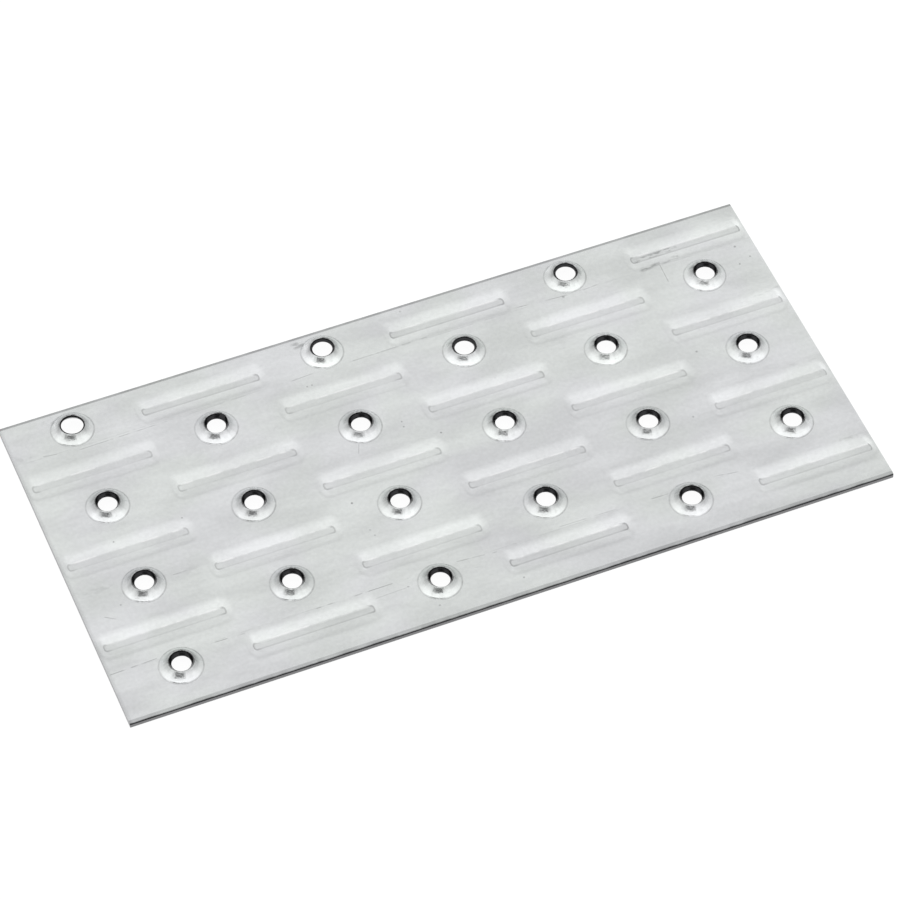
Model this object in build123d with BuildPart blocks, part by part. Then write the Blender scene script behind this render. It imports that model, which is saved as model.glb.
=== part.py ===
"""Truss nail plate: one piece of galvanised sheet steel, pressed cold.

Nail dimples, pushed up with a nail hole through each, take turns with stiffening grooves, pushed down,
like the two colours of a chess board. The plate lies on the undersides of its grooves.
Millimetres. X runs along the strip, Y towards the far edge, Z up; the origin is under the plate's middle.
"""

from build123d import *
from math import atan2, tan
import os

# Sheet
thickness = 1.2
shear_radius = 0.4  # rounded upper corner that slitting leaves along both long edges

# Chess board of dimples and grooves: centre to centre, and from the outer centres to the cut edges
columns = 6
rows = 7
column_pitch = 25.4
row_pitch = 10.0
left_margin = 13.0
right_margin = 12.4
far_margin = 5.5
near_margin = 8.7

# Nail dimple, raised like a small volcano
dimple_base_radius = 4.15
dimple_rim_radius = 2.47
dimple_rise = 1.55
nail_hole_radius = 1.95
nail_hole_land = 0.65  # straight wall that the punch leaves, before the hole breaks out wider

# Stiffening groove, sunk on the upper side and a ridge on the lower one
groove_depth = 0.45
groove_floor_width = 1.9
groove_floor_length = 23.65
groove_side_run = 2.1
groove_end_run = 0.6
groove_shift_right = 0.2  # the grooves stand this far off the dimples' columns
groove_shift_near = 0.75  # and this far off their rows
groove_lip_radius = 4.5  # bend from the sheet into the groove, along its sides

# Flat sheet round each pressing that comes with it
pressing_margin = 0.3

# Levels, from the ground up
sheet_bottom = groove_depth
sheet_top = sheet_bottom + thickness
plate_top = sheet_top + dimple_rise

# Overall size
length = left_margin + (columns - 1) * column_pitch + right_margin
width = far_margin + (rows - 1) * row_pitch + near_margin


def site(column, row):
    """Centre of a place on the chess board; row 0 is along the far edge."""
    x = left_margin + column * column_pitch - length / 2
    y = width / 2 - far_margin - row * row_pitch
    return x, y


places = [(column, row) for column in range(columns) for row in range(rows)]
dimple_sites = [site(column, row) for column, row in places if (column + row) % 2 == 0]
groove_centres = [site(column, row) for column, row in places if (column + row) % 2 == 1]
groove_sites = [(x + groove_shift_right, y - groove_shift_near) for x, y in groove_centres]

# Nail dimple: the section of the sheet, bent up along a cone, turned about the hole's axis
cone_angle = atan2(dimple_rise, dimple_base_radius - dimple_rim_radius)
dimple_outer_radius = dimple_base_radius + pressing_margin
under_foot_radius = dimple_base_radius - thickness * tan(cone_angle / 2)
hole_foot = sheet_bottom + (under_foot_radius - nail_hole_radius) * tan(cone_angle)

with BuildPart() as dimple:
    with BuildSketch(Plane.XZ):
        with BuildLine():
            Polyline(
                (dimple_outer_radius, sheet_bottom),
                (dimple_outer_radius, sheet_top),
                (dimple_base_radius, sheet_top),
                (dimple_rim_radius, plate_top),
                (nail_hole_radius, hole_foot + nail_hole_land),
                (nail_hole_radius, hole_foot),
                (under_foot_radius, sheet_bottom),
                close=True,
            )
        make_face()
    revolve(axis=Axis.Z)

# Stiffening groove: half sizes of its floor, its mouth and the tool that cuts it
floor_level = sheet_top - groove_depth
half_floor_width = groove_floor_width / 2
half_floor_length = groove_floor_length / 2
half_lip_width = half_floor_width + groove_side_run
half_reach = half_lip_width + groove_lip_radius * tan(atan2(groove_depth, groove_side_run) / 2) + pressing_margin


def ridge_half_crest(half_floor, run):
    """Half width or length of the flat under a ridge, one sheet thickness from the groove's faces."""
    return half_floor + thickness * tan(atan2(groove_depth, run) / 2)


def sloping_ends(half_length, level):
    """Side view of a groove's ends: this long at one level, and running on above and below the plate."""
    slope = groove_end_run / groove_depth
    top = plate_top + thickness
    half_top = half_length + slope * (top - level)
    half_bottom = half_length - slope * (level + thickness)
    with BuildSketch(Plane.XZ.offset(-row_pitch)) as side_view:
        with BuildLine():
            Polyline(
                (-half_top, top),
                (-half_bottom, -thickness),
                (half_bottom, -thickness),
                (half_top, top),
                close=True,
            )
        make_face()
    return side_view.sketch


# The ridge under it
half_crest_width = ridge_half_crest(half_floor_width, groove_side_run)
half_crest_length = ridge_half_crest(half_floor_length, groove_end_run)
half_foot_width = half_crest_width + groove_side_run
hollow_ends = sloping_ends(half_floor_length, floor_level)
ridge_ends = sloping_ends(half_crest_length, 0)

# What the groove takes from the sheet: bent in along both sides, mitred with the slopes of its two ends
with BuildPart() as hollow:
    with BuildSketch(Plane.YZ.offset(-column_pitch)):
        with BuildLine():
            FilletPolyline(
                (-half_reach, plate_top),
                (-half_reach, sheet_top),
                (-half_lip_width, sheet_top),
                (-half_floor_width, floor_level),
                (half_floor_width, floor_level),
                (half_lip_width, sheet_top),
                (half_reach, sheet_top),
                (half_reach, plate_top),
                radius=[0, 0, groove_lip_radius, 0, 0, groove_lip_radius, 0, 0],
                close=True,
            )
        make_face()
    extrude(amount=2 * column_pitch)
    extrude(hollow_ends, amount=2 * row_pitch, mode=Mode.INTERSECT)

# What the ridge adds under the sheet, mitred the same way
with BuildPart() as ridge:
    with BuildSketch(Plane.YZ.offset(-column_pitch)):
        with BuildLine():
            Polyline(
                (-half_foot_width, sheet_bottom),
                (-half_crest_width, 0),
                (half_crest_width, 0),
                (half_foot_width, sheet_bottom),
                close=True,
            )
        make_face()
    extrude(amount=2 * column_pitch)
    extrude(ridge_ends, amount=2 * row_pitch, mode=Mode.INTERSECT)

# The plate: sheet with every pressing let into it, cropped and slit to size
with BuildPart() as nail_plate:
    with BuildSketch(Plane.XY.offset(sheet_bottom)):
        Rectangle(length + column_pitch, width + row_pitch)
    extrude(amount=thickness)
    with Locations(*groove_sites):
        add(ridge.part)
    with Locations(*groove_sites):
        add(hollow.part, mode=Mode.SUBTRACT)
    with Locations(*dimple_sites):
        Cylinder(dimple_outer_radius, 2 * plate_top, mode=Mode.SUBTRACT)
    with Locations(*dimple_sites):
        add(dimple.part)
    with BuildSketch(Plane.XY):
        Rectangle(length, width)
    extrude(amount=plate_top, mode=Mode.INTERSECT)
    upper_edges = nail_plate.faces().sort_by(SortBy.AREA)[-1].outer_wire().edges()
    long_edges = upper_edges.filter_by(Axis.X).group_by(SortBy.LENGTH)[-1]
    fillet(long_edges, shear_radius)

nail_plate.part.label = "nail_plate"
os.makedirs("parts", exist_ok=True)
export_step(nail_plate.part, "parts/nail_plate.step")
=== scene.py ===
"""Dressed truss nail plate: galvanised sheet steel, pressed cold, lying on the undersides of its grooves.

Sizes are in millimetres, as in the solid, and become metres where the mesh, a material or the camera is
made. X runs along the strip, Y towards the far edge, Z up.
"""

import math
import random

import bmesh
import bpy
from mathutils import Matrix, Vector
from mathutils.geometry import delaunay_2d_cdt


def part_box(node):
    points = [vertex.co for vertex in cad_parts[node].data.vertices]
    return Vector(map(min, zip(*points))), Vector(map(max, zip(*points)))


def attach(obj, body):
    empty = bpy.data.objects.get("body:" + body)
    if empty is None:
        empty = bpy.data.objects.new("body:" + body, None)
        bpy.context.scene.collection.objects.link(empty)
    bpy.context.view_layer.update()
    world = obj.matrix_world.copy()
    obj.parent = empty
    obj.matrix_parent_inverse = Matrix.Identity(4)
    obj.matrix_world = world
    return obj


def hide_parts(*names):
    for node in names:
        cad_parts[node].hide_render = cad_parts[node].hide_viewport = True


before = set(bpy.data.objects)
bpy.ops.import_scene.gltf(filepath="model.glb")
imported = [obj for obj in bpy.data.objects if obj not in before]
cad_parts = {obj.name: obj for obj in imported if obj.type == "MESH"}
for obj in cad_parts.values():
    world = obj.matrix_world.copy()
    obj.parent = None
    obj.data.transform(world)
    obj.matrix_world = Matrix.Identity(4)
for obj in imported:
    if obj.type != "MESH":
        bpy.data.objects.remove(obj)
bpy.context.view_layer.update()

MM = 0.001

# Sheet, and the chess board of dimples and grooves pressed into it
THICKNESS = 1.2
COLUMNS = 6
ROWS = 7
COLUMN_PITCH = 25.4
ROW_PITCH = 10.0
LEFT_MARGIN = 13.0
FAR_MARGIN = 5.5

# Nail dimple: a small volcano, steeper from its waist up to its rim
BASE_RADIUS = 4.15
WAIST_RADIUS = 3.3
WAIST_RISE = 0.7
CREST_RADIUS = 2.54
DIMPLE_RISE = 1.55
MOUTH_RADIUS = 2.34
HOLE_RADIUS = 1.83
HOLE_LAND = 0.65
FOOT_DROP = 0.15
DIMPLE_PATCH_RADIUS = 4.65
DIMPLE_SEGMENTS = 64

# The holes lean a little to the right, each a bit differently, and aren't quite round
HOLE_LEAN = (0.08, -0.02)
LEAN_SPREAD = 0.05
MOST_SQUEEZE = 0.02

# Share by which the painted shade is stronger on the far side of the crest and hole, and in the crease round
# the foot on its near side
FAR_CREST_SHADE = 0.15
NEAR_FOOT_SHADE = 0.6

# Holes whose wall ends higher and wider, and one rim with a burr pushed outwards, by column and row
LIFTED_HOLES = {(0, 0): (0.6, 0.3), (2, 0): (0.35, 0.12), (4, 0): (0.35, 0.12), (3, 1): (0.25, 0.06)}
BURRED_RIM = (1, 1)
BURR_TURN = math.radians(38)
BURR_SPREAD = 0.35
BURR_REACH = 0.35
BURR_DEPTH = 0.5

# Stiffening groove, with a crease round its floor and corners that are rounded seen from above
GROOVE_DEPTH = 0.45
FLOOR_WIDTH = 1.5
FLOOR_LENGTH = 23.65
SIDE_RUN = 2.25
END_RUN = 1.2
PATCH_MARGIN = 0.9
GROOVE_SHIFT_RIGHT = 0.2
GROOVE_SHIFT_NEAR = 0.84
CREASE = 0.3
CREASE_AT_END = 0.14
CORNER_WIDTH = 0.8
CORNER_LENGTH = 0.55
CORNER_STEPS = 6
SIDE_STEPS = 9

# The right-hand grooves are shortened to end this far inside the cropped edge, and their floors by this
# share of that
EDGE_GAP = 0.35
FLOOR_CUT = 0.4

# Darkening of a groove's floor, crease and lips, part dirt and part painted shade: one of four shares, with
# more in the outer rows and more still, as painted shade, in the crease within a zone at each end
GROOVE_GRIME_AND_SHADE = (0.04, 0.06, 0.08, 0.1)
OUTER_ROW_GRIME_AND_SHADE = 0.12
END_SHADE = 0.2
END_ZONE = 0.8

# What lies less than this below the sheet is the groove's lip; the crease on the far side gets a painted
# glint
LIP_DEPTH = 0.3
CREASE_GLINT = 0.5

# Edges: slitting rolls the long upper edges over, and the sheet is cropped square at both ends
ROLLOVER = 0.8
SPARE_END = 4.0
CORNERS_IN_TURN = ((1, 1), (-1, 1), (-1, -1), (1, -1))

# How the mesh is made
BEND_STEPS = 4
SHARP_ANGLE = math.radians(32)
NEARLY = 0.001
INSIDE_ONLY = 1
WELD_DISTANCE = 1e-5

# Marks on the upper face: x and y of both ends, half width, and how dark at the middle
LINES = (
    (-74, 27.1, 76, 27.3, 0.11, 0.14),
    (-70.5, 27.4, -67.9, 27.0, 0.11, 0.36),
    (-63.5, 26.4, -47.3, 26.7, 0.11, 0.36),
    (-47.3, 26.7, -29.6, 27.0, 0.10, 0.22),
    (-21.5, 26.9, -15.9, 27.3, 0.11, 0.36),
    (-9.4, 27.3, 7.7, 27.5, 0.11, 0.43),
    (26.0, 27.9, 36.9, 27.1, 0.11, 0.43),
    (40.4, 27.1, 44.1, 27.5, 0.11, 0.29),
    (-76, -25.5, 52, -25.5, 0.11, 0.14),
    (-75.9, -25.5, -66.8, -25.2, 0.12, 0.51),
    (-58.5, -25.7, -49.9, -25.9, 0.12, 0.51),
    (-35.7, -25.6, -15.8, -25.5, 0.12, 0.51),
    (-7.8, -25.3, -0.1, -26.0, 0.12, 0.43),
    (13.1, -25.0, 25.3, -25.2, 0.12, 0.22),
    (25.3, -25.2, 34.9, -25.5, 0.12, 0.43),
    (43.1, -24.7, 53.0, -26.2, 0.12, 0.29),
    (-24.7, -27.6, -18.0, -27.4, 0.11, 0.22),
    (-5.6, -27.9, -1.0, -28.1, 0.11, 0.22),
    (-73.1, -12.3, -70.5, -14.0, 0.12, 0.43),
    (-57.4, -8.3, -53.4, -8.3, 0.12, 0.29),
    (56.8, 27.4, 56.6, 22.8, 0.12, 0.36),
    (-14.2, 7.8, -15.1, 5.6, 0.11, 0.29),
    (-21.4, 26.2, -20.7, 25.5, 0.14, 0.36),
)
# x, y, radius, and how dark
SPECKS = (
    (-65.0, 3.2, 0.24, 0.7),
    (-51.3, 3.7, 0.20, 0.6),
    (-68.7, -11.2, 0.20, 0.5),
    (-4.7, 9.7, 0.22, 0.5),
    (-4.8, 8.4, 0.22, 0.5),
    (1.2, 4.4, 0.30, 0.45),
    (15.9, 13.1, 0.22, 0.4),
    (-18.2, 24.6, 0.22, 0.45),
    (-17.2, 24.6, 0.22, 0.45),
    (36.1, 27.0, 0.40, 0.4),
    (5.3, 35.5, 0.30, 0.25),
    (71.4, 21.7, 0.24, 0.55),
    (74.1, 22.8, 0.22, 0.55),
    (72.4, 26.2, 0.35, 0.4),
    (47.0, -10.2, 0.24, 0.4),
    (54.3, 4.4, 0.35, 0.35),
    (-20.7, -5.1, 0.30, 0.6),
    (-18.3, -27.3, 0.25, 0.4),
    (-14.5, -33.5, 0.30, 0.3),
    (2.3, -33.4, 0.25, 0.4),
    (-19.9, -12.3, 0.22, 0.35),
    (-19.5, -13.8, 0.22, 0.35),
)
# Smears of fine scratches, the last three instead painted shade along the far lips of the right-hand grooves:
# x and y of both ends, half width, and how dark
SMEARS_AND_LIP_SHADE = (
    (-66.8, 35.0, -63.2, 33.0, 1.8, 0.30),
    (-16.4, 35.0, -12.2, 34.4, 1.7, 0.40),
    (53.4, 30.5, 61.2, 30.9, 1.1, 0.65),
    (53.2, 27.5, 60.6, 28.2, 0.9, 0.40),
    (-73.5, -6.6, -69.5, -6.2, 1.6, 0.11),
    (-57.4, -8.6, -53.0, -8.2, 1.1, 0.10),
    (-75.6, 28.6, -72.6, 27.6, 1.5, 0.12),
    # Painted shade: dark lines along the far lips of the grooves at the right-hand edge
    (70.6, 13.1, 76.3, 13.5, 0.6, 0.16),
    (69.6, -5.7, 76.3, -5.7, 0.6, 0.16),
    (70.5, -26.2, 76.3, -26.1, 0.6, 0.16),
)

# Camera, fitted to the photograph: its direction, distance and focal length, the point it looks at, and,
# in metres, the nearest and farthest that it sees
CAMERA_AZIMUTH = math.radians(-22.29)
CAMERA_ELEVATION = math.radians(50.88)
CAMERA_DISTANCE = 834.2
FOCAL_PIXELS = 4411.4
IMAGE_PIXELS = 900
SENSOR = 36.0
AIM_RIGHT = 1.47
AIM_UP = -1.04
AIM_ORIGIN = Vector((0.3, 1.6, 1.65))
CLOSEST = 0.01
FARTHEST = 20

# Horizontal directions: from the plate towards the camera, and to the camera's right
TOWARD_CAMERA = Vector((math.sin(CAMERA_AZIMUTH), -math.cos(CAMERA_AZIMUTH), 0))
TO_THE_RIGHT = Vector((math.cos(CAMERA_AZIMUTH), math.sin(CAMERA_AZIMUTH), 0))

# Colours of the steel
GREENISH_ZINC = (0.844, 0.872, 0.858, 1)
LILAC_ZINC = (0.849, 0.862, 0.875, 1)
DULL_ZINC = (0.2, 0.2, 0.2, 1)
# Pale grey of a painted glint along the groove creases
GLINT_ZINC = (0.97, 0.97, 0.97, 1)
# Dark grey of dirt and marks, and of painted shade in the holes, creases and along the edges
DIRT_AND_SHADE_GREY = (0.032, 0.032, 0.034, 1)
CROPPED_STEEL = (0.38, 0.38, 0.39, 1)
SLIT_STEEL = (0.22, 0.22, 0.225, 1)

# Floor: its half size in metres, its grey to the light, and its faint grey and its glow to the camera
FLOOR_HALF_SIZE = 2.0
FLOOR_GREY = 0.8
BACKDROP_GREY = 0.15
BACKDROP_GLOW = 0.91

# Strength of the tent's plain light, and of what even its darkest places give
TENT_LIGHT = 0.74
LEAST_LIGHT = 0.11

plate_high = Vector(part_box("nail_plate")[1]) / MM
half_length = plate_high.x
half_width = plate_high.y
rim_level = plate_high.z
sheet_top = rim_level - DIMPLE_RISE
sheet_bottom = sheet_top - THICKNESS


def site(column, row):
    """Centre of a place on the chess board; row 0 is along the far edge."""
    x = LEFT_MARGIN + column * COLUMN_PITCH - half_length
    y = half_width - FAR_MARGIN - row * ROW_PITCH
    return Vector((x, y))


def corner(*place, bend=0.0):
    """A corner of a section, and the share of the stretch on each side of it that bends."""
    return Vector(place), bend


def bent(corners):
    """Points along a section whose corners are rounded."""
    points = []
    for index, (place, share) in enumerate(corners):
        if share == 0:
            points.append(place)
            continue
        arrive = place.lerp(corners[index - 1][0], share)
        leave = place.lerp(corners[index + 1][0], share)
        for step in range(BEND_STEPS + 1):
            along = step / BEND_STEPS
            points.append(arrive.lerp(place, along).lerp(place.lerp(leave, along), along))
    return points


def circle(radius):
    turns = (2 * math.pi * step / DIMPLE_SEGMENTS for step in range(DIMPLE_SEGMENTS))
    return [Vector((radius * math.cos(turn), radius * math.sin(turn))) for turn in turns]


def groove_outline(half_length_here, half_width_here, right_cut):
    """Rounded rectangle round a groove, whose right end is cut short by this much."""
    corner_width = CORNER_WIDTH * half_width_here
    corner_length = CORNER_LENGTH * half_width_here
    straight = half_length_here - corner_length
    quarter = [Vector((half_length_here, 0))]
    for step in range(CORNER_STEPS + 1):
        turn = math.pi / 2 * step / CORNER_STEPS
        x = straight + corner_length * math.cos(turn)
        y = half_width_here - corner_width * (1 - math.sin(turn))
        quarter.append(Vector((x, y)))
    for step in range(1, SIDE_STEPS):
        quarter.append(Vector((straight * (1 - step / SIDE_STEPS), half_width_here)))
    far_half = quarter + [Vector((0, half_width_here))] + [Vector((-p.x, p.y)) for p in reversed(quarter)]
    near_half = [Vector((p.x, -p.y)) for p in reversed(far_half)]
    outline = far_half + near_half[1:-1]
    return [Vector((p.x - right_cut * max(0, p.x / half_length_here), p.y)) for p in outline]


def add_ring(mesh, outline, centre, height, grime_and_shade, cone=0.0):
    """A ring of vertices, with how dark they are, by dirt and by painted shade, and how much they belong to a
    dimple's cone.
    """
    layers = mesh.verts.layers
    ring = []
    for point in outline:
        vert = mesh.verts.new((centre.x + point.x, centre.y + point.y, height))
        vert[layers.float["grime_and_shade"]] = grime_and_shade
        vert[layers.float["cone"]] = cone
        ring.append(vert)
    return ring


def bridge(mesh, rings):
    """Faces between each ring and the next."""
    for ring, following in zip(rings, rings[1:]):
        for index in range(len(ring)):
            after = (index + 1) % len(ring)
            mesh.faces.new((ring[index], ring[after], following[after], following[index]))


def dimple_section(lift, widening):
    """Radius, height, darkening by dirt and painted shade, and share of the cone, from the flat above to the
    flat below.
    """
    slope = DIMPLE_RISE / (BASE_RADIUS - CREST_RADIUS)
    under_foot = BASE_RADIUS - THICKNESS * math.tan(math.atan(slope) / 2)
    hole_foot = sheet_bottom + (under_foot - HOLE_RADIUS) * slope - FOOT_DROP + lift
    foot_radius = HOLE_RADIUS + widening
    return bent([
        corner(DIMPLE_PATCH_RADIUS, sheet_top, 0, 0),
        corner(BASE_RADIUS + 0.2, sheet_top, 0, 0),
        # Painted shade darkens the crease round the foot
        corner(BASE_RADIUS, sheet_top, 0.3, 0, bend=0.4),
        corner(BASE_RADIUS - 0.2, sheet_top + 0.15, 0, 1),
        corner(WAIST_RADIUS, sheet_top + WAIST_RISE, 0.04, 1, bend=0.3),
        # The crest and mouth are darkened partly by dirt and partly by a painted darker reflection
        corner(CREST_RADIUS, rim_level + 0.03, 0.45, 1, bend=0.25),
        corner(MOUTH_RADIUS, rim_level - 0.12, 0.52, 0.5, bend=0.2),
        # Painted shade darkens the hole's wall nearly to black, down to its foot
        corner(MOUTH_RADIUS - 0.1, rim_level - 0.36, 2, 0),
        corner(foot_radius, hole_foot + 0.5 * HOLE_LAND, 1.2, 0, bend=0.15),
        corner(foot_radius, hole_foot, 0.95, 0),
        corner(under_foot, sheet_bottom, 0, 0, bend=0.15),
        corner(DIMPLE_PATCH_RADIUS, sheet_bottom, 0, 0),
    ])


def burr(turn, radius):
    """How far the burr pushes a rim outwards in this direction, as a share of its radius."""
    off_burr = math.remainder(turn - BURR_TURN, 2 * math.pi)
    return BURR_REACH / radius * math.exp(-(off_burr / BURR_SPREAD) ** 2)


def add_dimple(mesh, column, row):
    """One dimple with its hole; returns its outer rings above and below."""
    number = column * ROWS + row
    chance = random.Random(100 + number)
    lean = Vector([middle + chance.uniform(-LEAN_SPREAD, LEAN_SPREAD) for middle in HOLE_LEAN])
    squeeze = chance.uniform(0, MOST_SQUEEZE)
    squeeze_turn = chance.uniform(0, math.pi)
    spoke = mesh.verts.layers.float_vector["spoke"]
    grime_and_shade_layer = mesh.verts.layers.float["grime_and_shade"]
    rings = []
    for radius, height, grime_and_shade, cone in dimple_section(*LIFTED_HOLES.get((column, row), (0, 0))):
        near_hole = max(0, 1 - (radius - HOLE_RADIUS) / (WAIST_RADIUS - HOLE_RADIUS))
        burred = (column, row) == BURRED_RIM and height > rim_level - BURR_DEPTH
        outline = []
        for point in circle(radius):
            turn = math.atan2(point.y, point.x)
            reach = 1 + near_hole * squeeze * math.cos(2 * (turn - squeeze_turn))
            if burred:
                reach += near_hole * burr(turn, radius)
            outline.append(point * reach + lean * near_hole)
        ring = add_ring(mesh, outline, site(column, row), height, grime_and_shade, cone)
        # Painted shade, stronger on the far side of the crest and hole, and on the near side of the foot's
        # crease
        far_side_shade = FAR_CREST_SHADE if radius < WAIST_RADIUS else -NEAR_FOOT_SHADE
        for vert, point in zip(ring, circle(1)):
            vert[spoke] = (point.x, point.y, number)
            vert[grime_and_shade_layer] *= 1 + far_side_shade * point.y
        rings.append(ring)
    bridge(mesh, rings)
    return rings[0], rings[-1]


def groove_section(half_length_here, half_width_here, floor_level, flat_level, grime_and_shade):
    """Half width, half length, height and darkening by dirt and painted shade, from the floor up to the flat.
    """
    lip = half_width_here + SIDE_RUN
    end = half_length_here + END_RUN
    above_crease = floor_level + CREASE * (flat_level - floor_level) / SIDE_RUN
    return bent([
        corner(half_width_here - CREASE, half_length_here - CREASE, floor_level, 0.35 * grime_and_shade),
        corner(half_width_here, half_length_here, floor_level, grime_and_shade, bend=0.3),
        corner(half_width_here + CREASE, half_length_here + CREASE_AT_END, above_crease, 0),
        corner(lip, end, flat_level, 0.3 * grime_and_shade, bend=0.42),
        corner(lip + PATCH_MARGIN, end + PATCH_MARGIN, flat_level, 0),
    ])


def settle_groove_shade_and_glint(ring, layer, centre, end_zone, dirt_and_shade, on_lip, in_crease):
    """Ends darker in the crease by painted shade, apart from their lips, which get none, and a painted glint
    along the crease on the far side of the floor.
    """
    for vert in ring:
        at_end = abs(vert.co.x - centre.x) > end_zone
        if on_lip:
            vert[layer] = 0 if at_end else dirt_and_shade
        elif at_end:
            vert[layer] = dirt_and_shade + END_SHADE * in_crease
        elif vert.co.y > centre.y and in_crease:
            vert[layer] = -CREASE_GLINT


def add_groove_side(mesh, centre, half_length_here, half_width_here, floor_level, flat_level, grime_and_shade):
    """Upper or lower side of one groove, its floor closed; returns the outer ring."""
    right_cut = max(0, centre.x + FLOOR_LENGTH / 2 + END_RUN + EDGE_GAP - half_length)
    end_zone = half_length_here - END_ZONE
    layer = mesh.verts.layers.float["grime_and_shade"]
    rings = []
    for width, length, height, dirt_and_shade in groove_section(
        half_length_here, half_width_here, floor_level, flat_level, grime_and_shade
    ):
        up_the_side = min(1, max(0, (width - half_width_here) / SIDE_RUN))
        cut = right_cut * (FLOOR_CUT + (1 - FLOOR_CUT) * up_the_side)
        ring = add_ring(mesh, groove_outline(length, width, cut), centre, height, dirt_and_shade)
        settle_groove_shade_and_glint(ring, layer, centre, end_zone, dirt_and_shade, height > flat_level - LIP_DEPTH, dirt_and_shade > 0.5 * grime_and_shade)
        rings.append(ring)
    bridge(mesh, rings)
    mesh.faces.new(rings[0])
    return rings[-1]


def add_groove(mesh, column, row):
    """One groove and the ridge under it; returns their outer rings."""
    centre = site(column, row) + Vector((GROOVE_SHIFT_RIGHT, -GROOVE_SHIFT_NEAR))
    grime_and_shade = random.Random(200 + column * ROWS + row).choice(GROOVE_GRIME_AND_SHADE)
    if row in (0, ROWS - 1):
        grime_and_shade += OUTER_ROW_GRIME_AND_SHADE
    long = FLOOR_LENGTH / 2
    wide = FLOOR_WIDTH / 2
    wider = THICKNESS * math.tan(math.atan(GROOVE_DEPTH / SIDE_RUN) / 2)
    upper = add_groove_side(mesh, centre, long, wide, sheet_top - GROOVE_DEPTH, sheet_top, grime_and_shade)
    lower = add_groove_side(mesh, centre, long + wider, wide + wider, 0, sheet_bottom, 0)
    return upper, lower


def add_long_edges(mesh):
    """Rolled over above and square below, with spare sheet at both ends; returns its two inner rings."""
    # inset, height, and darkening: painted shade on the rolled-over edge and down the slit side
    section = bent([
        corner(ROLLOVER, sheet_top, 0.03),
        corner(0.85 * ROLLOVER, sheet_top, 0.33),
        corner(0.15, sheet_top - 0.06, 0.5, bend=0.5),
        corner(0, sheet_top - 0.3, 1.3, bend=0.4),
        corner(0, sheet_bottom + 0.45, 0.85),
        corner(0, sheet_bottom, 0.2),
    ])
    half_x = half_length + SPARE_END
    rings = []
    for inset, height, grime_and_shade in section:
        half_y = half_width - inset
        outline = [Vector((half_x * right, half_y * far)) for right, far in CORNERS_IN_TURN]
        rings.append(add_ring(mesh, outline, Vector((0, 0)), height, grime_and_shade))
    bridge(mesh, rings)
    return rings[0], rings[-1]


def fill_flat(mesh, outline, pressings):
    """Triangles over the flat sheet between its outline and the pressings."""
    loops = [outline] + pressings
    verts = [vert for loop in loops for vert in loop]
    owner = [index for index, loop in enumerate(loops) for _ in loop]
    edges = []
    for loop in loops:
        first = len(edges)
        edges += [(first + step, first + (step + 1) % len(loop)) for step in range(len(loop))]
    places = [vert.co.xy for vert in verts]
    _, _, triangles, origins, _, _ = delaunay_2d_cdt(places, edges, [], INSIDE_ONLY, WELD_DISTANCE)
    for triangle in triangles:
        trio = [origins[index][0] for index in triangle]
        owners = {owner[index] for index in trio}
        if len(owners) > 1 or owners == {0}:
            mesh.faces.new([verts[index] for index in trio])


def crop_ends(mesh):
    """Cuts the spare sheet off both ends and closes the cuts."""
    for side in (-1, 1):
        everything = mesh.verts[:] + mesh.edges[:] + mesh.faces[:]
        cut = (side * half_length, 0, 0)
        outwards = (side, 0, 0)
        bmesh.ops.bisect_plane(mesh, geom=everything, plane_co=cut, plane_no=outwards, clear_outer=True)
        bmesh.ops.holes_fill(mesh, edges=[edge for edge in mesh.edges if edge.is_boundary], sides=0)


def is_cropped_end(face):
    return abs(abs(face.calc_center_median().x) - half_length) < NEARLY


def is_slit_side(face):
    return abs(abs(face.calc_center_median().y) - half_width) < NEARLY


def add_pressings(mesh):
    """Every dimple and groove; returns their outer rings above and below."""
    upper_rings = []
    lower_rings = []
    for column in range(COLUMNS):
        for row in range(ROWS):
            add_pressing = add_groove if (column + row) % 2 else add_dimple
            upper, lower = add_pressing(mesh, column, row)
            upper_rings.append(upper)
            lower_rings.append(lower)
    return upper_rings, lower_rings


def place_mesh(mesh, name):
    """Makes an object of a finished mesh and puts it in the scene."""
    data = bpy.data.meshes.new(name)
    mesh.to_mesh(data)
    mesh.free()
    thing = bpy.data.objects.new(name, data)
    bpy.context.collection.objects.link(thing)
    return thing


def build_plate():
    mesh = bmesh.new()
    mesh.verts.layers.float.new("grime_and_shade")
    mesh.verts.layers.float.new("cone")
    mesh.verts.layers.float_vector.new("spoke")
    upper_edge, lower_edge = add_long_edges(mesh)
    upper_pressings, lower_pressings = add_pressings(mesh)
    fill_flat(mesh, upper_edge, upper_pressings)
    fill_flat(mesh, lower_edge, lower_pressings)
    crop_ends(mesh)
    bmesh.ops.recalc_face_normals(mesh, faces=mesh.faces)
    for face in mesh.faces:
        face.smooth = True
        if is_cropped_end(face):
            face.material_index = 1
        elif is_slit_side(face):
            face.material_index = 2
    for edge in mesh.edges:
        edge.smooth = edge.calc_face_angle(0) < SHARP_ANGLE
    bmesh.ops.scale(mesh, vec=(MM, MM, MM), verts=mesh.verts)
    plate = place_mesh(mesh, "pressed_plate")
    even = plate.modifiers.new("even_normals", "WEIGHTED_NORMAL")
    even.keep_sharp = True
    return plate


def new_material(name):
    material = bpy.data.materials.new(name)
    material.use_nodes = True
    return material, material.node_tree


def feed(tree, socket, value):
    """Links a socket to another one, or sets it to a constant."""
    if isinstance(value, bpy.types.NodeSocket):
        tree.links.new(value, socket)
    else:
        socket.default_value = value


def reckon(tree, operation, first, second=0.0, clamp=False):
    node = tree.nodes.new("ShaderNodeMath")
    node.operation = operation
    node.use_clamp = clamp
    feed(tree, node.inputs[0], first)
    feed(tree, node.inputs[1], second)
    return node.outputs["Value"]


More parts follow.
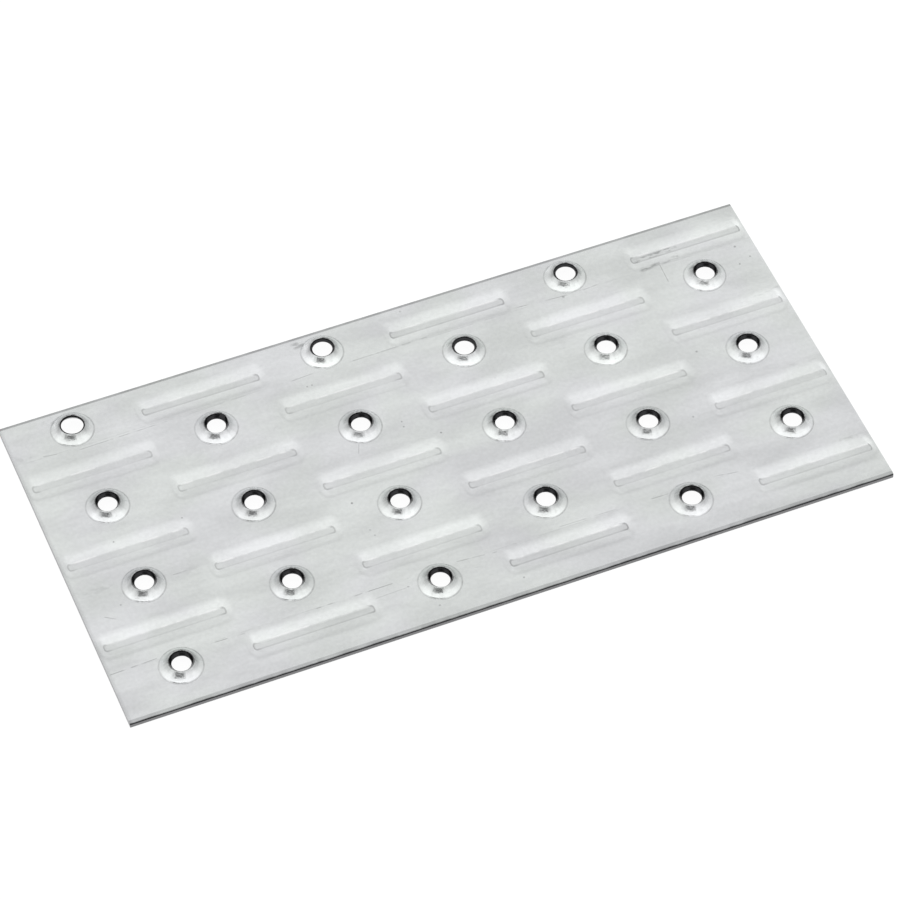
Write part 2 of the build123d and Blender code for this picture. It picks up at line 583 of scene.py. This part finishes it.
def combine(tree, operation, *parts):
    """One value from several, such as their sum or the largest of them."""
    result = parts[0]
    for part in parts[1:]:
        result = reckon(tree, operation, result, part)
    return result


def vector_reckon(tree, operation, first, second, output="Vector"):
    node = tree.nodes.new("ShaderNodeVectorMath")
    node.operation = operation
    feed(tree, node.inputs[0], first)
    feed(tree, node.inputs["Scale" if operation == "SCALE" else 1], second)
    return node.outputs[output]


def how_far(tree, vector, axis):
    """How far a vector reaches along an axis."""
    return vector_reckon(tree, "DOT_PRODUCT", vector, axis, "Value")


def ease(tree, value, start, end, low=0.0, high=1.0):
    """Goes smoothly from low to high while the value goes from start to end."""
    node = tree.nodes.new("ShaderNodeMapRange")
    node.interpolation_type = "SMOOTHSTEP"
    feed(tree, node.inputs["Value"], value)
    for name, number in (("From Min", start), ("From Max", end), ("To Min", low), ("To Max", high)):
        node.inputs[name].default_value = number
    return node.outputs["Result"]


def noise(tree, point, scale, detail, stretch=(1, 1, 1)):
    node = tree.nodes.new("ShaderNodeTexNoise")
    node.inputs["Scale"].default_value = scale
    node.inputs["Detail"].default_value = detail
    tree.links.new(vector_reckon(tree, "MULTIPLY", point, stretch), node.inputs["Vector"])
    return node.outputs["Fac"]


def blend_colours(tree, share, first, second):
    node = tree.nodes.new("ShaderNodeMix")
    node.data_type = "RGBA"
    feed(tree, node.inputs[0], share)
    feed(tree, node.inputs[6], first)
    feed(tree, node.inputs[7], second)
    return node.outputs[2]


def attribute(tree, name, output):
    node = tree.nodes.new("ShaderNodeAttribute")
    node.attribute_name = name
    return node.outputs[output]


def line_mark(tree, point, start, end, mark_half_width, depth):
    """How dark a straight mark is at a point: its depth along the middle, fading out to the sides."""
    run = (end - start) * MM
    offset = vector_reckon(tree, "SUBTRACT", point, start * MM)
    share = reckon(tree, "ADD", how_far(tree, offset, run / run.length_squared), 0.0, clamp=True)
    nearest = vector_reckon(tree, "SCALE", run, share)
    aside = vector_reckon(tree, "DISTANCE", offset, nearest, "Value")
    return ease(tree, aside, 0, mark_half_width * MM, low=depth, high=0)


def straight_marks(tree, point, table):
    marks = []
    for start_x, start_y, end_x, end_y, mark_half_width, depth in table:
        start = Vector((start_x, start_y, sheet_top))
        end = Vector((end_x, end_y, sheet_top))
        marks.append(line_mark(tree, point, start, end, mark_half_width, depth))
    return combine(tree, "MAXIMUM", *marks)


def specks(tree, point):
    marks = []
    for x, y, radius, depth in SPECKS:
        aside = vector_reckon(tree, "DISTANCE", point, Vector((x, y, sheet_top)) * MM, "Value")
        marks.append(ease(tree, aside, 0.3 * radius * MM, radius * MM, low=depth, high=0))
    return combine(tree, "MAXIMUM", *marks)


def handling_marks_and_lip_shade(tree, point):
    """Rolling lines, smears, painted shade along some groove lips, and specks, only on the upper face, and a
    darker border at the left end.
    """
    broken = ease(tree, noise(tree, point, scale=420, detail=2), 0.38, 0.56)
    scribble = ease(tree, noise(tree, point, scale=1500, detail=4, stretch=(0.4, 1, 1)), 0.42, 0.62)
    left = how_far(tree, point, Vector((-1, 0, 0)))
    return combine(
        tree,
        "MAXIMUM",
        reckon(tree, "MULTIPLY", straight_marks(tree, point, LINES), broken),
        reckon(tree, "MULTIPLY", straight_marks(tree, point, SMEARS_AND_LIP_SHADE), scribble),
        specks(tree, point),
        ease(tree, left, (half_length - 0.8) * MM, half_length * MM, high=0.14),
    )


def zinc_colour(tree, point):
    """Greenish and lilac grey in soft patches, clouded, rolled, grained, and darker towards the near edge."""
    patches = ease(tree, noise(tree, point, scale=75, detail=3, stretch=(0.7, 1, 1)), 0.4, 0.62)
    cloud = noise(tree, point, scale=150, detail=4, stretch=(0.45, 1, 1))
    rolled = noise(tree, point, scale=520, detail=3, stretch=(0.12, 1, 1))
    grain = noise(tree, point, scale=1300, detail=5)
    far = how_far(tree, point, Vector((0, 1, 0)))
    dullness = combine(
        tree,
        "ADD",
        ease(tree, cloud, 0.3, 0.7, low=-0.025, high=0.13),
        ease(tree, rolled, 0.3, 0.7, high=0.04),
        ease(tree, grain, 0.3, 0.7, high=0.06),
        ease(tree, far, -half_width * MM, half_width * MM, low=0.04, high=0),
    )
    return blend_colours(tree, dullness, blend_colours(tree, patches, GREENISH_ZINC, LILAC_ZINC), DULL_ZINC)


def steel_colour(tree, point, grime_and_shade, streaks):
    """Zinc under uneven, streaked darkening by dirt and painted shade, and the marks, with a painted glint
    where that value is negative.
    """
    uneven = ease(tree, noise(tree, point, scale=320, detail=3), 0.35, 0.65, low=0.88, high=1.12)
    soil_and_shade = combine(tree, "MULTIPLY", grime_and_shade, uneven, ease(tree, streaks, 0.3, 0.7, low=0.75, high=1.25))
    soil_and_shade = reckon(tree, "ADD", soil_and_shade, handling_marks_and_lip_shade(tree, point), clamp=True)
    patchy = ease(tree, noise(tree, point, scale=380, detail=2), 0.42, 0.6)
    glint = reckon(tree, "MULTIPLY", ease(tree, grime_and_shade, 0, -1), patchy)
    soiled_and_shaded_zinc = blend_colours(tree, soil_and_shade, zinc_colour(tree, point), DIRT_AND_SHADE_GREY)
    return blend_colours(tree, glint, soiled_and_shaded_zinc, GLINT_ZINC)


def steel_relief(tree, point, cone, streaks):
    """Normals of steel that is drawn into streaks on the cones, with a fine grain everywhere."""
    rough = reckon(tree, "MULTIPLY", noise(tree, point, scale=1900, detail=3), 0.7)
    drawn = reckon(tree, "MULTIPLY", reckon(tree, "ADD", streaks, rough), cone)
    fine = reckon(tree, "MULTIPLY", noise(tree, point, scale=1400, detail=2), 0.12)
    bump = tree.nodes.new("ShaderNodeBump")
    bump.inputs["Strength"].default_value = 1.0
    bump.inputs["Distance"].default_value = 0.00005
    tree.links.new(reckon(tree, "ADD", drawn, fine), bump.inputs["Height"])
    return bump.outputs["Normal"]


def galvanised_steel():
    material, tree = new_material("galvanised_steel")
    shader = tree.nodes["Principled BSDF"]
    point = tree.nodes.new("ShaderNodeTexCoord").outputs["Object"]
    grime_and_shade = attribute(tree, "grime_and_shade", "Fac")
    cone = attribute(tree, "cone", "Fac")
    streaks = noise(tree, attribute(tree, "spoke", "Vector"), scale=3.6, detail=3, stretch=(1, 1, 4.1))
    tree.links.new(steel_colour(tree, point, grime_and_shade, streaks), shader.inputs["Base Color"])
    tree.links.new(steel_relief(tree, point, cone, streaks), shader.inputs["Normal"])
    shader.inputs["Metallic"].default_value = 1.0
    shader.inputs["Roughness"].default_value = 0.22
    return material


def cut_steel(name, colour):
    material, tree = new_material(name)
    shader = tree.nodes["Principled BSDF"]
    shader.inputs["Base Color"].default_value = colour
    shader.inputs["Metallic"].default_value = 0.7
    shader.inputs["Roughness"].default_value = 0.45
    return material


def finish_plate():
    plate = build_plate()
    plate.data.materials.append(galvanised_steel())
    plate.data.materials.append(cut_steel("cropped_steel", CROPPED_STEEL))
    plate.data.materials.append(cut_steel("slit_steel", SLIT_STEEL))
    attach(plate, "root")
    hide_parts("nail_plate")


def add_camera():
    level = TOWARD_CAMERA * math.cos(CAMERA_ELEVATION)
    back = Vector((level.x, level.y, math.sin(CAMERA_ELEVATION)))
    up = back.cross(TO_THE_RIGHT)
    data = bpy.data.cameras.new("camera")
    data.sensor_width = SENSOR
    data.lens = FOCAL_PIXELS / IMAGE_PIXELS * SENSOR
    data.clip_start = CLOSEST
    data.clip_end = FARTHEST
    camera = bpy.data.objects.new("camera", data)
    place = AIM_ORIGIN + TO_THE_RIGHT * AIM_RIGHT + up * AIM_UP + back * CAMERA_DISTANCE
    turned = Matrix((TO_THE_RIGHT, up, back)).transposed().to_4x4()
    camera.matrix_world = Matrix.Translation(place * MM) @ turned
    bpy.context.collection.objects.link(camera)
    bpy.context.scene.camera = camera


def diffuse(tree, grey):
    node = tree.nodes.new("ShaderNodeBsdfDiffuse")
    node.inputs["Color"].default_value = (grey, grey, grey, 1)
    return node.outputs["BSDF"]


def white_floor():
    """White to the camera and in reflections, where it keeps a faint shadow, and plain to other light."""
    material, tree = new_material("white_floor")
    tree.nodes.clear()
    path = tree.nodes.new("ShaderNodeLightPath")
    seen = reckon(tree, "MAXIMUM", path.outputs["Is Camera Ray"], path.outputs["Is Glossy Ray"])
    glow = tree.nodes.new("ShaderNodeEmission")
    glow.inputs["Strength"].default_value = BACKDROP_GLOW
    backdrop = tree.nodes.new("ShaderNodeAddShader")
    tree.links.new(diffuse(tree, BACKDROP_GREY), backdrop.inputs[0])
    tree.links.new(glow.outputs["Emission"], backdrop.inputs[1])
    choice = tree.nodes.new("ShaderNodeMixShader")
    tree.links.new(seen, choice.inputs["Fac"])
    tree.links.new(diffuse(tree, FLOOR_GREY), choice.inputs[1])
    tree.links.new(backdrop.outputs["Shader"], choice.inputs[2])
    output = tree.nodes.new("ShaderNodeOutputMaterial")
    tree.links.new(choice.outputs["Shader"], output.inputs["Surface"])
    return material


def add_floor():
    mesh = bmesh.new()
    bmesh.ops.create_grid(mesh, x_segments=1, y_segments=1, size=FLOOR_HALF_SIZE)
    floor = place_mesh(mesh, "floor")
    floor.data.materials.append(white_floor())


def tent_light(tree, toward, sideways, height, direction):
    """A white tent, lit most from the camera's side, with a brighter ceiling and a seam behind the plate."""
    lamp = combine(
        tree,
        "MULTIPLY",
        ease(tree, toward, -0.75, 0.45),
        ease(tree, height, 0.05, 0.45, low=0.02, high=0.44),
    )
    across = how_far(tree, direction, TO_THE_RIGHT * 0.6 + TOWARD_CAMERA * 0.8)
    ceiling = combine(
        tree,
        "MULTIPLY",
        ease(tree, across, -0.24, -0.11, low=-0.02, high=0.15),
        ease(tree, height, 0.9, 0.95),
    )
    lower_seam = ease(tree, height, 0.42, 0.6, low=0.1, high=-0.1)
    upper_seam = ease(tree, height, 0.66, 0.77, high=0.1)
    seam = combine(
        tree,
        "MULTIPLY",
        reckon(tree, "ADD", lower_seam, upper_seam),
        ease(tree, sideways, -0.4, -0.2),
        ease(tree, sideways, 0.15, 0.35, low=1, high=0),
        ease(tree, toward, -0.6, -0.4, low=1, high=0),
    )
    return combine(tree, "ADD", TENT_LIGHT, lamp, ceiling, seam)


def dark_share(tree, toward, sideways, height, direction):
    """A dark gap in the tent for whoever takes the picture, and a stand beside it."""
    gap = combine(
        tree,
        "MULTIPLY",
        ease(tree, sideways, -0.8, -0.33),
        ease(tree, sideways, 0.15, 0.45, low=1, high=0),
        ease(tree, height, 0.15, 0.4),
        ease(tree, height, 0.54, 0.66, low=1, high=0),
        ease(tree, toward, 0.2, 0.5),
    )
    stand_place = (TOWARD_CAMERA * 0.464 + TO_THE_RIGHT * 0.684 + Vector((0, 0, 0.561))).normalized()
    off_stand = vector_reckon(tree, "DISTANCE", direction, stand_place, "Value")
    return reckon(tree, "MAXIMUM", gap, ease(tree, off_stand, 0.03, 0.14, low=0.35, high=0))


def light_studio():
    """The tent lights the plate, and the camera sees plain white behind it."""
    world = bpy.data.worlds.new("studio")
    bpy.context.scene.world = world
    world.use_nodes = True
    tree = world.node_tree
    direction = tree.nodes.new("ShaderNodeTexCoord").outputs["Generated"]
    toward = how_far(tree, direction, TOWARD_CAMERA)
    sideways = how_far(tree, direction, TO_THE_RIGHT)
    height = how_far(tree, direction, Vector((0, 0, 1)))
    tent = tent_light(tree, toward, sideways, height, direction)
    open_share = reckon(tree, "SUBTRACT", 1.0, dark_share(tree, toward, sideways, height, direction))
    light = reckon(tree, "ADD", reckon(tree, "MULTIPLY", tent, open_share), LEAST_LIGHT)
    seen = tree.nodes.new("ShaderNodeLightPath").outputs["Is Camera Ray"]
    backdrop = tree.nodes.new("ShaderNodeMix")
    feed(tree, backdrop.inputs[0], seen)
    feed(tree, backdrop.inputs[2], light)
    feed(tree, backdrop.inputs[3], 1.0)
    background = tree.nodes["Background"]
    tree.links.new(backdrop.outputs[0], background.inputs["Strength"])
    background.inputs["Color"].default_value = (1, 1, 1, 1)


add_camera()
light_studio()
add_floor()
finish_plate()
bpy.context.scene.view_settings.view_transform = "Standard"
